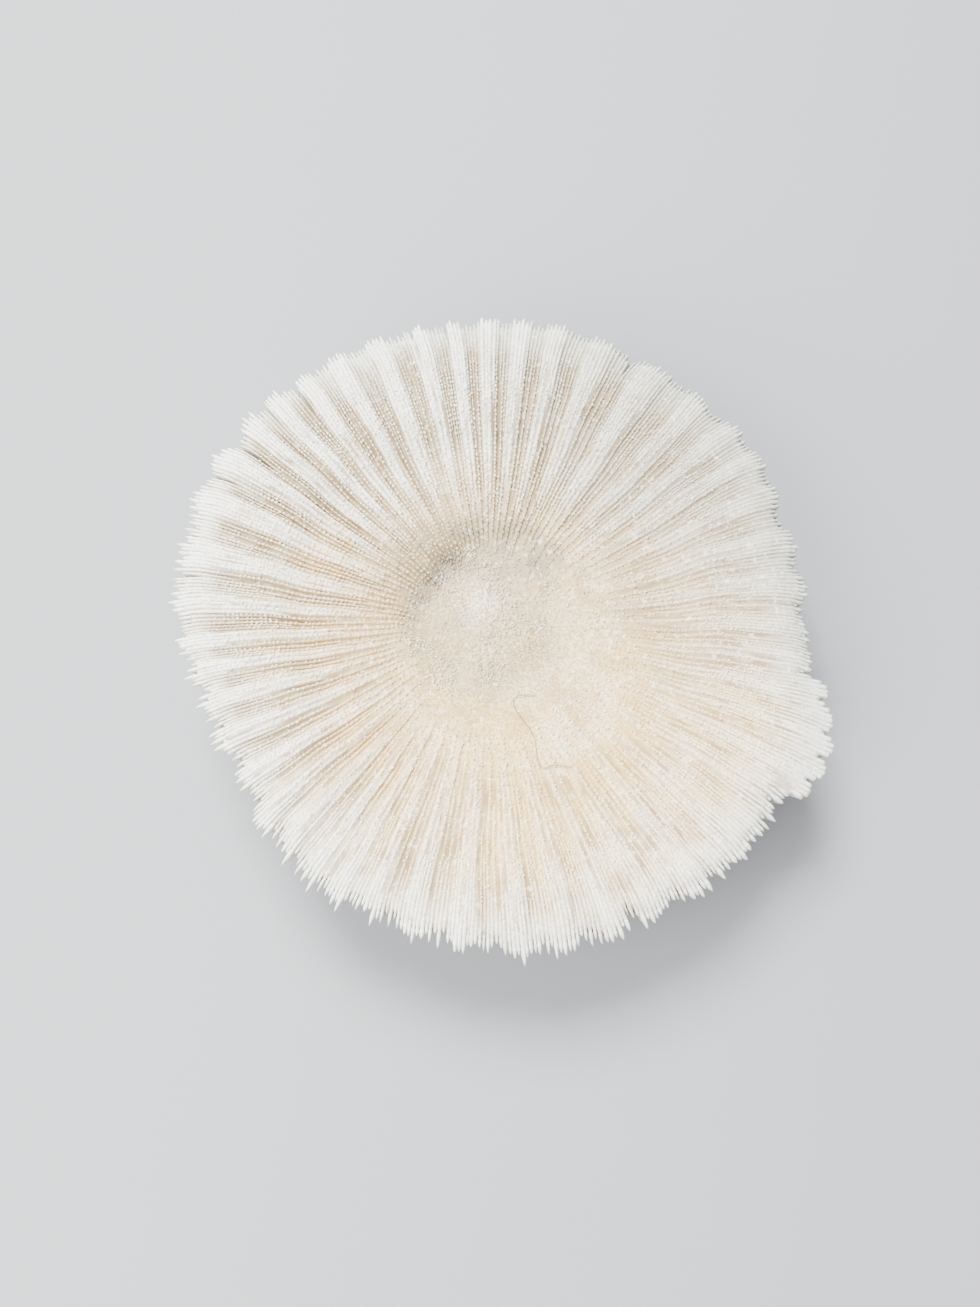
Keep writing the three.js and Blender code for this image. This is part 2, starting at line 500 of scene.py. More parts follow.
def body_ring(columns, part, face):
    """One ring of the body, at this part of the way to its rim, on its upper or lower face."""
    share = part * rim(columns)
    angle = columns + bend(columns, share)
    height = face(angle, share)
    closing = smoothstep(part, 0.965, 1.0)
    rounded = upper_face(angle, share) - 0.5 * closing - 0.5 * smoothstep(part, 0.985, 1.0)
    height = height * (1 - closing) + rounded * closing
    return share, polar(angle, share * outline(angle), height)


def mouth_side_share(share):
    """The mouth side has the colours of the margin nearly as far as the mouth."""
    return 0.68 + 0.25 * share


def upper_values(columns, share):
    """The values per point of a ring on the upper face."""
    return {
        "share": share,
        "depth": opening(columns, share),
        "stain": stain(columns, share),
        "crust": crust(columns, share),
        "cream": cream(columns, share),
    }


def lower_values(columns, share):
    """The values per point of a ring on the lower face."""
    return {
        "share": mouth_side_share(share),
        "depth": np.full(RIBS, MOUTH_SIDE_DEPTH),
        "stain": MOUTH_SIDE_STAIN_AND_SHADE * stain(columns, share),
        "crust": crust(columns, share),
        "cream": MOUTH_SIDE_CREAM * cream(columns, share),
    }


SCAR_CENTRE = {"share": 0, "depth": 0, "stain": 0, "crust": 0, "cream": 1}
MOUTH_CENTRE = {**SCAR_CENTRE, "share": mouth_side_share(0.0), "depth": MOUTH_SIDE_DEPTH}


def disc_places(disc, parts, columns):
    """Places on one of the texture map's discs."""
    middle, radius = disc
    ray = np.stack([np.cos(columns), np.sin(columns)], -1)
    return middle + radius * np.asarray(parts)[..., None] * ray


def disc_corners(disc, parts, columns):
    """Places of the corners of the quads between rings at these parts, in tube_faces' order."""
    here = disc_places(disc, np.array(parts)[:, None], columns)
    beside = np.roll(here, -1, 1)
    return np.stack([here[:-1], here[1:], beside[1:], beside[:-1]], 2)


def fan_corners(disc, part, columns):
    """Places of the corners of the triangles from a disc's middle to its first ring."""
    middle = np.full((RIBS, 1, 2), disc[0])
    return np.concatenate([middle, disc_places(disc, part, np.stack(columns, 1))], 1)


def make_body(material):
    columns = np.arange(RIBS) * TURN / RIBS
    beside = np.roll(columns, -1)
    scar_parts = np.linspace(0.012, SCAR_SHARE, SCAR_RINGS, endpoint=False)
    face_parts = SCAR_SHARE + (1 - SCAR_SHARE) * np.linspace(0, 1, FACE_RINGS) ** 0.9
    upper_parts = [*scar_parts, *face_parts]
    under_parts = np.linspace(0.99, 0.02, UNDER_RINGS)
    plan = [(part, upper_face, upper_values) for part in upper_parts]
    plan += [(part, lower_face, lower_values) for part in under_parts]

    rings, ring_values = [], []
    for part, face, values in plan:
        share, ring = body_ring(columns, part, face)
        rings.append(ring)
        ring_values.append(values(columns, share))
    centres = [[0, 0, upper_face(0.0, 0.0)], [0, 0, lower_face(0.0, 0.0)]]
    ring_values.append({name: [SCAR_CENTRE[name], MOUTH_CENTRE[name]] for name in SCAR_CENTRE})

    build = Build()
    build.add(
        np.concatenate([*rings, centres]),
        tube_faces(len(rings), RIBS),
        (
            disc_corners(UPPER_DISC, upper_parts, columns),
            disc_corners(LOWER_DISC, [1, *under_parts], columns),
            fan_corners(UPPER_DISC, upper_parts[0], (columns, beside)),
            fan_corners(LOWER_DISC, under_parts[-1], (beside, columns)),
        ),
        **{name: np.concatenate([values[name] for values in ring_values]) for name in SCAR_CENTRE},
    )
    return make_piece("body", build, material)


# --- Ribs: each runs from near the scar to its tooth, and is a septum on the mouth side ---


def rib_radii(angle, start, rim_radius, end):
    """Radii of a rib's sections: one at each granule, then close together along its free end."""
    phase = 0.8 * noise_round(PHASE, angle, start / 20) + rng.uniform(-0.12, 0.12)
    first = math.ceil(start / GRANULE_STEP - phase)
    last = math.floor(rim_radius / GRANULE_STEP - phase)
    attached = (np.arange(first, last) + phase) * GRANULE_STEP
    free = np.linspace(rim_radius, end, TOOTH_STEPS, endpoint=False)
    return np.concatenate([attached, free]), len(attached)


def rib_section(crest, root, half_width, rounding):
    """Sideways place and height of each point of a section, from its crest to its root and back."""
    depth = crest - root
    shoulder = crest - np.minimum(rounding, 0.1 * depth)
    neck = crest - np.minimum(0.75, 0.35 * depth)
    low = root + np.minimum(0.9, 0.3 * depth)
    return (
        (0.0 * half_width, crest),
        (0.75 * half_width, shoulder),
        (half_width, neck),
        (0.6 * half_width, low),
        (0.0 * half_width, root),
        (-0.6 * half_width, low),
        (-half_width, neck),
        (-0.75 * half_width, shoulder),
    )


# For each point of a section: how deep in a groove it lies, and how much stain and painted shade it
# takes.
SECTION_DEPTH = (0, 0.3, 1, 0.5, 0, 0.5, 1, 0.3)
SECTION_STAIN_AND_SHADE = (1, 1, 1, 0.3, 0.1, 0.3, 1, 1)
MOUTH_SIDE_POINTS = slice(3, 6)


def blade_points(angle, radii, section, ends):
    """Points of an upright blade that runs outwards, with this section at each radius."""
    aside = np.stack([-np.sin(angle), np.cos(angle), np.zeros_like(angle)], 1)
    sides = [polar(angle, radii, height) + aside * away[:, None] for away, height in section]
    return tube_points(sides, ends)


def tube_places(along, cell):
    """Places of a tube's face corners in its own strip of the texture map.

    along is how far along the strip each section lies, from 0 to 1. cell is (column, row,
    columns, rows): which strip it is, of how many.
    """
    column, row, columns, rows = cell
    across = (column + 0.06 + 0.88 * np.arange(SIDES + 1) / SIDES) / columns
    up = (row + 0.03 + 0.94 * along) / rows
    grid = np.stack(np.broadcast_arrays(across[None, :], up[:, None]), -1)
    near, far = grid[:-1], grid[1:]
    quads = np.stack([near[:, :-1], far[:, :-1], far[:, 1:], near[:, 1:]], 2)
    middle = (column + 0.5) / columns
    low_end = np.tile([middle, (row + 0.01) / rows], (SIDES, 1, 1))
    high_end = np.tile([middle, (row + 0.99) / rows], (SIDES, 1, 1))
    fan_in = np.concatenate([low_end, grid[0, :-1, None], grid[0, 1:, None]], 1)
    fan_out = np.concatenate([high_end, grid[-1, 1:, None], grid[-1, :-1, None]], 1)
    return quads, fan_in, fan_out


class Rib:
    """One rib, as arrays over its sections, from where it starts to its tooth.

    size is 1 for the strongest ribs and 0 for the weakest. cut is how far the tip stays inside
    the outline.
    """

    def __init__(self, angle, start, size, cut):
        full = float(outline(angle))
        self.angle, self.size = angle, size
        self.end = full - cut
        self.rim_radius = min(float(rim(angle)) * full, self.end - SHORTEST_TOOTH)
        self.rim_share = self.rim_radius / full
        self.radii, self.attached = rib_radii(angle, start, self.rim_radius, self.end)
        self.share = self.radii / full
        self.bent = angle + bend(angle, self.share) + parting(angle, self.share)
        self.ahead = float(forward(angle))
        self.web = float(in_petals(angle))
        self.fused = fusion(angle, self.share)
        self.opened = opening(angle, self.share)
        self.grown = smoothstep(self.radii - self.radii[0], -0.3, 3.5 + 5 * self.ahead)
        self.merge = smoothstep(self.radii, self.rim_radius - 1.2, self.rim_radius)
        free_length = self.end - self.rim_radius
        self.free = np.clip((self.radii - self.rim_radius) / free_length, 0, 1)

    def crest(self):
        """Height along the top of the rib, and of its tip."""
        ridge = (0.02 + 0.12 * self.size) * (1 - 0.56 * self.ahead)
        ridge = ridge * (1 - 0.85 * self.fused) * self.opened
        tucked = (0.1 + 0.4 * self.ahead) * (1 - self.web)
        ground = underside_height(self.bent, self.share)
        crest = ground + ridge - 0.5 * (1 - self.grown) - tucked * self.merge

        at_rim = float(underside_height(self.bent[self.attached], self.rim_share)) - tucked
        droop = (0.3 + 0.3 * self.ahead) * (self.end - self.rim_radius)
        tip = at_rim - droop - 0.3 * (1 - self.size)
        return np.where(self.free > 0, at_rim + (tip - at_rim) * self.free**1.5, crest), tip

    def tooth_width(self):
        """Half the width of the free end: swollen near its root, then tapering to its tip."""
        swollen = 1 + 0.25 * bump(self.free - 0.3, 0.25)
        taper = (1 - self.free ** (1.4 * (1.0 + 1.5 * self.ahead))) ** 0.75
        tooth = (0.19 + 0.11 * self.size + 0.12 * self.size * self.ahead) * swollen * taper
        petal_edge = 0.52 * pitch(self.end) * (1 - self.free**6) ** 0.5
        return tooth * (1 - self.web) + petal_edge * self.web

    def half_width(self):
        attached = pitch(self.radii) * (0.27 + 0.23 * self.fused)
        attached = attached * (0.5 + 0.5 * self.grown) * (0.94 + 0.12 * self.size)
        width = attached * (1 - self.merge) + self.tooth_width() * self.merge
        thinned = 1 - 0.45 * slit(self.angle, self.share, 0.6)
        return width * thinned * rng.uniform(0.9, 1.1, len(self.radii))

    def root(self, crest, tip):
        """Height along the edge on the mouth side, with small teeth on it."""
        lift = 0.9 * (1 - self.size) * smoothstep(self.share, 0.35, 0.6) + 2.0 * (1 - self.grown)
        zigzag = 0.3 * (np.arange(len(self.radii)) % 2) * smoothstep(self.share, 0.36, 0.5)
        root = dome_height(self.bent, self.share) + lift + zigzag
        root = np.where(self.free > 0, root + (tip - root) * self.free**1.6, root)
        return np.minimum(root, crest - 0.2)

    def values(self):
        """The rib's values per point, in its points' order."""
        share = np.repeat(self.share[:, None], SIDES, 1)
        share[:, MOUTH_SIDE_POINTS] = mouth_side_share(self.share)[:, None]
        stained = np.outer(stain(self.angle, self.share), SECTION_STAIN_AND_SHADE)
        limed, creamy = crust(self.angle, self.share), cream(self.angle, self.share)
        return {
            "share": np.concatenate([share.ravel(), [self.share[0], 1]]),
            "depth": np.concatenate([np.outer(self.opened, SECTION_DEPTH).ravel(), [0, 0]]),
            "stain": np.concatenate([stained.ravel(), [0, 0]]),
            "crust": np.concatenate([np.repeat(limed, SIDES), limed[[0, -1]]]),
            "cream": np.concatenate([np.repeat(creamy, SIDES), creamy[[0, -1]]]),
        }

    def add_to(self, ribs, grains, cell):
        """Adds the rib to one piece, in this cell of its texture map, and its beads to another."""
        crest, tip = self.crest()
        half_width = self.half_width()
        section = rib_section(crest, self.root(crest, tip), half_width, 0.17 - 0.13 * self.fused)
        start_point = polar(self.bent[0], self.radii[0] - 0.3, crest[0] - 0.2)
        tip_point = polar(self.bent[-1], self.end, tip)
        along = (self.radii - self.radii[0]) / (self.end - self.radii[0])
        ribs.add(
            blade_points(self.bent, self.radii, section, [start_point, tip_point]),
            tube_faces(len(self.radii)),
            tube_places(along, cell),
            **self.values(),
        )
        size = GRANULE_SIZE * (0.8 + 0.3 * self.size) * (1 - 0.2 * self.fused)
        size = size * (1 - 0.5 * smoothstep(self.share, 0.72, 0.93)) * self.grown
        scatter = 0.11 + 0.2 * self.fused
        keep = slice(0, self.attached)
        places = (self.bent[keep], self.radii[keep], crest[keep])
        add_granules(grains, self.angle, places, size[keep], scatter[keep])


SEPTUM_END, SEPTUM_STEPS = 30, 26
SEPTA_STRIPS, SEPTA_ROWS = 60, 2  # on the texture map


def make_mouth_septa(material):
    """The innermost septa: blades that dip into the mouth, long and short in turn."""
    septa = Build()
    for number in range(RIBS // 4):
        angle = (4 * number + 0.5) * TURN / RIBS
        radii = np.linspace(2.6 if number % 2 == 0 else 5.5, SEPTUM_END, SEPTUM_STEPS)
        share = radii / outline(angle)
        bent = angle + bend(angle, share)
        ground = lower_face(bent, share)
        in_mouth = smoothstep(mouth_height(radii * np.cos(bent), radii * np.sin(bent)), 0, 1)
        reach = (ground - dome_height(bent, share)) * smoothstep(radii - radii[0], 0, 2.0)
        edge = ground - reach * (1 - in_mouth) - 0.7 * in_mouth
        edge = edge + 0.1 + 0.6 * smoothstep(radii, 25, SEPTUM_END)
        half_width = 0.12 + 0.08 * smoothstep(radii, 3, 12)
        section = rib_section(ground + 0.6, edge, half_width, 0.1)
        ends = [polar(bent[end], radii[end], ground[end] + 0.4) for end in (0, -1)]
        cell = (number % SEPTA_STRIPS, number // SEPTA_STRIPS, SEPTA_STRIPS, SEPTA_ROWS)
        count = SIDES * len(radii) + len(ends)
        septa.add(
            blade_points(bent, radii, section, ends),
            tube_faces(len(radii)),
            tube_places(np.linspace(0, 1, len(radii)), cell),
            share=np.full(count, 0.7),
            depth=np.full(count, 0.1),
            stain=np.zeros(count),
            crust=np.full(count, 0.5),
            cream=np.full(count, 0.5),
        )
    make_piece("septa_mouth", septa, material)


# --- Granules: the beads on the ribs, and the loose grains on the scar ---


def icosahedron():
    golden = (1 + 5**0.5) / 2
    corners = [(-1, golden, 0), (1, golden, 0), (-1, -golden, 0), (1, -golden, 0)]
    corners += [(0, -1, golden), (0, 1, golden), (0, -1, -golden), (0, 1, -golden)]
    corners += [(golden, 0, -1), (golden, 0, 1), (-golden, 0, -1), (-golden, 0, 1)]
    corners = np.array(corners) / math.hypot(1, golden)
    faces = [(0, 11, 5), (0, 5, 1), (0, 1, 7), (0, 7, 10), (0, 10, 11)]
    faces += [(1, 5, 9), (5, 11, 4), (11, 10, 2), (10, 7, 6), (7, 1, 8)]
    faces += [(3, 9, 4), (3, 4, 2), (3, 2, 6), (3, 6, 8), (3, 8, 9)]
    faces += [(4, 9, 5), (2, 4, 11), (6, 2, 10), (8, 6, 7), (9, 8, 1)]
    return corners, np.array(faces)


GRANULE, GRANULE_FACES = icosahedron()
SMALLEST_GRANULE = 0.09  # smaller ones are left out
MAP_WIDTH = 2.1 * MEAN_RADIUS + 8  # of the square that the granules' texture map covers


def add_granules(grains, rib_angle, places, size, scatter):
    """Small round grains on a surface, of uneven size, each up to scatter off its place.

    places is (angle, radius, height), as arrays. rib_angle gives the grains their colours.
    """
    angle, radius, height = places
    count = len(radius)
    size = size * rng.uniform(0.6, 1.4, count)
    middle = polar(angle, radius, height + 0.25 * size)
    middle[:, :2] += rng.uniform(-1, 1, (count, 2)) * np.reshape(scatter, (-1, 1))
    stretch = np.stack([np.ones(count), np.ones(count), rng.uniform(0.9, 1.5, count)], 1)
    grain = GRANULE[None] * (size[:, None] * stretch)[:, None]

    share = radius / outline(angle)
    on_scar = 1 - smoothstep(share, 0.15, 0.28)
    limed = np.maximum(0.75 - 0.5 * on_scar, crust(rib_angle, share))
    kept = size > SMALLEST_GRANULE
    values = {
        "share": share,
        "depth": np.zeros(count),
        "stain": (0.3 + 0.5 * on_scar) * stain(rib_angle, share),
        "crust": limed,
        "cream": 0.85 * cream(rib_angle, share),
    }
    points = (middle[:, None] + grain)[kept].reshape(-1, 3)
    firsts = len(GRANULE) * np.arange(kept.sum())
    faces = (GRANULE_FACES[None] + firsts[:, None, None]).reshape(-1, 3)
    grains.add(
        points,
        (faces,),
        (0.5 + points[faces][..., :2] / MAP_WIDTH,),
        **{name: np.repeat(value[kept], len(GRANULE)) for name, value in values.items()},
    )


def make_scar_granules(material):
    """Loose grains over the scar, coarse in some patches and fine in others."""
    radius = SCAR_REACH * np.sqrt(rng.uniform(0, 1, SCAR_GRANULES))
    angle = rng.uniform(0, TURN, SCAR_GRANULES)
    share = radius / outline(angle)
    patch = lattice_noise(PATCHES, 0.25 * radius * np.cos(angle), 0.25 * radius * np.sin(angle))
    size = 0.12 + 0.12 * smoothstep(patch, -0.4, 0.6)
    size = size * rng.uniform(0.8, 1.3, SCAR_GRANULES)
    sunk = upper_face(angle, share) - 0.3 * size
    grains = Build()
    add_granules(grains, angle, (angle, radius, sunk), size, 0.0)
    make_piece("granules_scar", grains, material)


# --- The three growths of ribs ---


def rib_kind(number, angle):
    """Which of the three growths a rib belongs to, and the radius at which it starts."""
    later = 3 * forward(angle)
    if number % 8 == 0:
        return "old", rng.uniform(8.5, 12) + later
    if number % 8 == 4:
        return "old", rng.uniform(10, 16) + later
    if number % 4 == 2:
        return "young", rng.uniform(18, 29) + later
    return "last", rng.uniform(34, 50)


SIZES = {"old": 0.75, "young": 0.55, "last": 0.3}
SHORTER = {"old": 0.0, "young": 0.12, "last": 0.4}  # teeth, as shares of their length
MAP_STRIPS, MAP_ROWS = 60, {"old": 2, "young": 2, "last": 4}


def tooth_cut(kind, angle):
    """How far a tooth's tip stays inside the outline. Few reach it, and the last ribs end short."""
    uneven = 0.75 * rng.beta(1.1, 2.2)
    if in_petals(angle) > 0.5:
        return PETAL_REACH * (1 - float(petal(angle))) + rng.uniform(0.0, 0.15)
    shorter = min(SHORTER[kind] + uneven, 0.9)
    return float(tooth_length(angle)) * shorter + float(retreat(angle))


def make_ribs(material):
    ribs = {kind: Build() for kind in SIZES}
    grains = {kind: Build() for kind in SIZES}
    made = dict.fromkeys(SIZES, 0)
    for number in range(RIBS):
        angle = (number + 0.5 + rng.uniform(-0.1, 0.1)) * TURN / RIBS
        kind, start = rib_kind(number, angle)
        size = SIZES[kind] + 0.2 * fold(angle) + rng.uniform(-0.2, 0.2)
        cell = (made[kind] % MAP_STRIPS, made[kind] // MAP_STRIPS, MAP_STRIPS, MAP_ROWS[kind])
        made[kind] += 1
        rib = Rib(angle, start, float(np.clip(size, 0, 1)), tooth_cut(kind, angle))
        rib.add_to(ribs[kind], grains[kind], cell)
    for kind in SIZES:
        make_piece(f"ribs_{kind}", ribs[kind], material)
        make_piece(f"granules_{kind}", grains[kind], material)


# --- Fibres that lie on the coral ---

FIBRE_RADIUS = 0.065
FIBRE_LIFT = 0.38  # above the ground between the beads
ROUTE_STEPS = 6
# Points that each fibre passes over, in millimetres from the scar's centre.
FIBRES = {
    "hair_front": (
        (9.0, -13.9), (7.4, -13.7), (5.6, -13.9), (4.8, -14.6), (4.9, -16.0), (5.8, -17.7),
        (7.7, -20.3), (8.6, -22.2), (8.9, -24.8), (9.4, -26.9), (10.2, -27.6), (11.2, -27.2),
        (12.9, -27.0), (15.2, -27.5),
    ),
    "hair_back": (
        (11.4, 36.7), (11.5, 35.1), (11.0, 33.6), (9.8, 31.9), (9.6, 30.7), (10.1, 29.2),
        (9.7, 27.4), (9.1, 25.8), (9.4, 23.6), (8.9, 21.9), (7.9, 21.2), (7.5, 22.6),
        (7.4, 24.4), (7.9, 26.0),
    ),
}


def smooth_route(points, steps):
    """A curve through the points, with this many steps between two of them (Catmull-Rom)."""
    points = np.array(points)
    padded = np.concatenate([[2 * points[0] - points[1]], points, [2 * points[-1] - points[-2]]])
    t = (np.arange(steps) / steps)[:, None]
    parts = []
    for a, b, c, d in zip(padded, padded[1:], padded[2:], padded[3:]):
        square, cube = 2 * a - 5 * b + 4 * c - d, 3 * b - a - 3 * c + d
        parts.append(0.5 * (2 * b + (c - a) * t + square * t**2 + cube * t**3))
    return np.concatenate([*parts, points[-1:]])


def make_fibre(name, points, material):
    """One closed thin tube, lying on the tops of the ribs."""
    route = smooth_route(points, ROUTE_STEPS)
    angle, radius = np.arctan2(route[:, 1], route[:, 0]), np.hypot(route[:, 0], route[:, 1])
    height = underside_height(angle, radius / outline(angle)) + FIBRE_LIFT
    along = np.gradient(route, axis=0)
    aside = np.stack([-along[:, 1], along[:, 0]], 1) / np.linalg.norm(along, axis=1)[:, None]
    sides = []
    for side in np.arange(SIDES) * TURN / SIDES:
        flat = route + aside * FIBRE_RADIUS * math.cos(side)
        sides.append(np.column_stack([flat, height + FIBRE_RADIUS * math.sin(side)]))
    ends = [[*route[0], height[0]], [*route[-1], height[-1]]]
    faces = [face for part in tube_faces(len(route)) for face in part.tolist()]
    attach(make_mesh(name, tube_points(sides, ends), faces, material), "root")


# --- Material ---


class Nodes:
    """Short calls for building one material's nodes."""

    def __init__(self, name):
        self.material = bpy.data.materials.new(name)
        self.material.use_nodes = True
        self.tree = self.material.node_tree
        self.shader = self.tree.nodes["Principled BSDF"]

    def new(self, kind, **settings):
        node = self.tree.nodes.new(kind)
        for name, value in settings.items():
            setattr(node, name, value)
        return node

    def put(self, socket, value):
        if isinstance(value, bpy.types.NodeSocket):
            self.tree.links.new(value, socket)
        else:
            socket.default_value = value

    def math(self, operation, a, b):
        node = self.new("ShaderNodeMath", operation=operation)
        self.put(node.inputs[0], a)
        self.put(node.inputs[1], b)
        return node.outputs[0]

    def times(self, first, *others):
        for other in others:
            first = self.math("MULTIPLY", first, other)
        return first

    def remap(self, value, low, high, to_low=0.0, to_high=1.0):
        """A smooth step from to_low, where the value is low, to to_high, where it is high."""
        node = self.new("ShaderNodeMapRange", interpolation_type="SMOOTHSTEP")
        node.inputs["From Min"].default_value = low
        node.inputs["From Max"].default_value = high
        node.inputs["To Min"].default_value = to_low
        node.inputs["To Max"].default_value = to_high
        self.put(node.inputs["Value"], value)
        return node.outputs["Result"]

    def mix(self, factor, a, b):
        node = self.new("ShaderNodeMix", data_type="RGBA")
        self.put(node.inputs["Factor"], factor)
        self.put(node.inputs["A"], a)
        self.put(node.inputs["B"], b)
        return node.outputs["Result"]

    def attribute(self, name):
        return self.new("ShaderNodeAttribute", attribute_name=name).outputs["Fac"]

    def place(self):
        return self.new("ShaderNodeTexCoord").outputs["Object"]

    def join(self, *parts):
        node = self.new("ShaderNodeCombineXYZ")
        for socket, part in zip(node.inputs, parts):
            self.put(socket, part)
        return node.outputs[0]

    def split(self, vector):
        node = self.new("ShaderNodeSeparateXYZ")
        self.put(node.inputs[0], vector)
        return node.outputs[0], node.outputs[1], node.outputs[2]

    def noise(self, vector, scale, detail=3.0, roughness=0.55):
        node = self.new("ShaderNodeTexNoise")
        node.inputs["Scale"].default_value = scale
        node.inputs["Detail"].default_value = detail
        node.inputs["Roughness"].default_value = roughness
        self.put(node.inputs["Vector"], vector)
        return node.outputs["Fac"]


WHITE = (0.85, 0.86, 0.80, 1)
CREAM = (0.87, 0.65, 0.28, 1)
WARM = (0.75, 0.47, 0.155, 1)
SCAR = (0.42, 0.315, 0.145, 1)
TAN = (0.34, 0.26, 0.145, 1)
BROWN = (0.20, 0.125, 0.06, 1)
OCHRE = (0.58, 0.34, 0.12, 1)
SHADE = (0.45, 0.49, 0.46, 1)
SHADOW = (0.20, 0.19, 0.155, 1)
HAIR = (0.10, 0.05, 0.025, 1)
FLOOR_DARK = (0.25, 0.255, 0.265, 1)
FLOOR_LIGHT = (0.27, 0.275, 0.285, 1)

# How many spots of each noise lie side by side in a metre.
CLOUDS, PATCHWORK, FLECKS, GRAINS, PORES = 70.0, 190.0, 900.0, 2000.0, 3200.0
PORE_DEPTH = 0.00012


class Aragonite(Nodes):
    """The coral's material, with the values and the noises that its colours share."""

    def __init__(self):
        super().__init__("aragonite")
        self.share = self.attribute("share")
        self.depth = self.attribute("depth")
        self.stained = self.attribute("stain")
        self.limed = self.attribute("crust")
        self.creamy = self.attribute("cream")
        self.where = self.place()
        self.right, self.back, _ = self.split(self.where)
        self.streaks = self.noise(self.along_ribs(9.0, 60.0), 1.0, 4.0)
        self.fine_streaks = self.noise(self.along_ribs(42.0, 170.0), 1.0, 3.0)
        self.clouds = self.noise(self.where, CLOUDS, 4.0)
        self.patches = self.noise(self.where, PATCHWORK, 4.0)
        self.flecks = self.noise(self.where, FLECKS, 2.0)
        self.grains = self.noise(self.where, GRAINS, 2.0)

    def along_ribs(self, around, outwards):
        """Coordinates in which a noise's spots are drawn out along the ribs."""
        flat = self.join(self.right, self.back)
        direction = self.new("ShaderNodeVectorMath", operation="NORMALIZE")
        self.put(direction.inputs[0], flat)
        length = self.new("ShaderNodeVectorMath", operation="LENGTH")
        self.put(length.inputs[0], flat)
        ray = self.split(direction.outputs[0])
        return self.join(
            self.times(ray[0], around),
            self.times(ray[1], around),
            self.times(length.outputs["Value"], outwards),
        )


def clean(coral):
    """White at the margin, cream further in, and a darker, mottled scar."""
    creamy = coral.times(coral.creamy, coral.remap(coral.clouds, 0.3, 0.65, 0.5, 1.0))
    colour = coral.mix(creamy, WHITE, CREAM)
    warm = coral.times(coral.creamy, coral.remap(coral.patches, 0.42, 0.7, 0.0, 0.7))
    warm = coral.times(warm, coral.remap(coral.share, 0.2, 0.3))
    colour = coral.mix(warm, colour, WARM)
    on_scar = coral.remap(coral.share, 0.17, 0.38, 1.0, 0.0)
    on_scar = coral.times(on_scar, coral.remap(coral.flecks, 0.3, 0.65, 1.0, 0.6))
    colour = coral.mix(on_scar, colour, SCAR)
    mottled = coral.remap(coral.share, 0.2, 0.5, 1.0, 0.4)
    mottled = coral.times(mottled, coral.remap(coral.patches, 0.47, 0.64, 0.0, 0.6))
    return coral.mix(mottled, colour, TAN)


def painted_back_shade(coral, colour):
    """Painted shade and painted reflection of dark surroundings: cool and grey towards the back
    right.
    """
    slant = coral.math("ADD", coral.times(coral.right, 0.55), coral.times(coral.back, 0.85))
    back_shade = coral.times(coral.remap(slant, -0.01, 0.05), coral.remap(coral.share, 0.25, 0.6))
    # painted shade: the grey SHADE colour mixed in towards the back right
    return coral.mix(coral.times(back_shade, 0.72), colour, SHADE)


def stain_shade_and_lime(coral, colour):
    """Tan in streaks where the stain and the painted shade are, then white where the lime is."""
    stained = coral.times(coral.stained, coral.remap(coral.streaks, 0.3, 0.6, 0.4, 1.15))
    stained = coral.times(stained, coral.remap(coral.depth, 0.0, 1.0, 0.55, 1.0))
    # the tan here is stain together with the painted shade of the basin and the outer terrace
    colour = coral.mix(stained, colour, TAN)
    limed = coral.times(coral.limed, coral.remap(coral.patches, 0.3, 0.6, 0.4, 0.9))
    return coral.mix(limed, colour, WHITE)


def painted_shadows(coral, colour):
    """Painted shadow on the basin's wall behind the scar, and painted shade that makes the back
    right a little darker.
    """
    # painted shadow on the basin's wall behind the scar, which faces away from the light
    basin_shade = coral.times(
        coral.remap(coral.share, 0.15, 0.23),
        coral.remap(coral.share, 0.37, 0.27),
        coral.remap(coral.back, -0.002, 0.012),
        coral.remap(coral.patches, 0.42, 0.55, 0.25, 0.95),
    )
    # painted shade: a little darker at the back right
    back_right_shade = coral.times(
        coral.remap(coral.right, -0.005, 0.03),
        coral.remap(coral.back, -0.025, 0.02),
        coral.remap(coral.share, 0.3, 0.45, 0.0, 0.32),
    )
    return coral.mix(coral.math("MAXIMUM", basin_shade, back_right_shade), colour, SHADOW)


def gilded(coral, colour):
    """Warmer half way out, except at the back."""
    golden = coral.times(
        coral.remap(coral.share, 0.18, 0.3),
        coral.remap(coral.share, 0.8, 0.5, 0.0, 0.42),
        coral.remap(coral.back, 0.03, -0.005),
        coral.remap(coral.clouds, 0.3, 0.65, 0.5, 1.0),
    )
    return coral.mix(golden, colour, WARM)


def speckled(coral, colour):
    """Tan specks, most on the scar."""
    specks = coral.remap(coral.share, 0.25, 0.6, 1.0, 0.35)
    specks = coral.times(specks, coral.remap(coral.grains, 0.45, 0.58, 0.0, 0.75))
    return coral.mix(specks, colour, TAN)


def grooved(coral, colour):
    """Brown at the bottom of the grooves, least at the scar and at the margin: partly the coral's
    own colour, partly painted shade in the grooves.
    """
    # partly painted shade: browner the deeper a point lies in a groove
    groove = coral.times(
        coral.remap(coral.depth, 0.3, 1.0),
        coral.remap(coral.fine_streaks, 0.35, 0.7, 0.2, 0.8),
        coral.remap(coral.share, 0.25, 0.5, 0.2, 1.0),
        coral.remap(coral.share, 0.9, 0.98, 1.0, 0.25),
    )
    return coral.mix(groove, colour, BROWN)


def flecked(coral, colour):
    """Fine ochre streaks between the scar and the margin, and white flecks everywhere."""
    ochre = coral.times(
        coral.remap(coral.fine_streaks, 0.56, 0.7),
        coral.remap(coral.share, 0.55, 0.75, 0.6, 0.08),
        coral.remap(coral.share, 0.22, 0.32),
    )
    colour = coral.mix(ochre, colour, OCHRE)
    return coral.mix(coral.remap(coral.flecks, 0.42, 0.28, 0.0, 0.5), colour, WHITE)


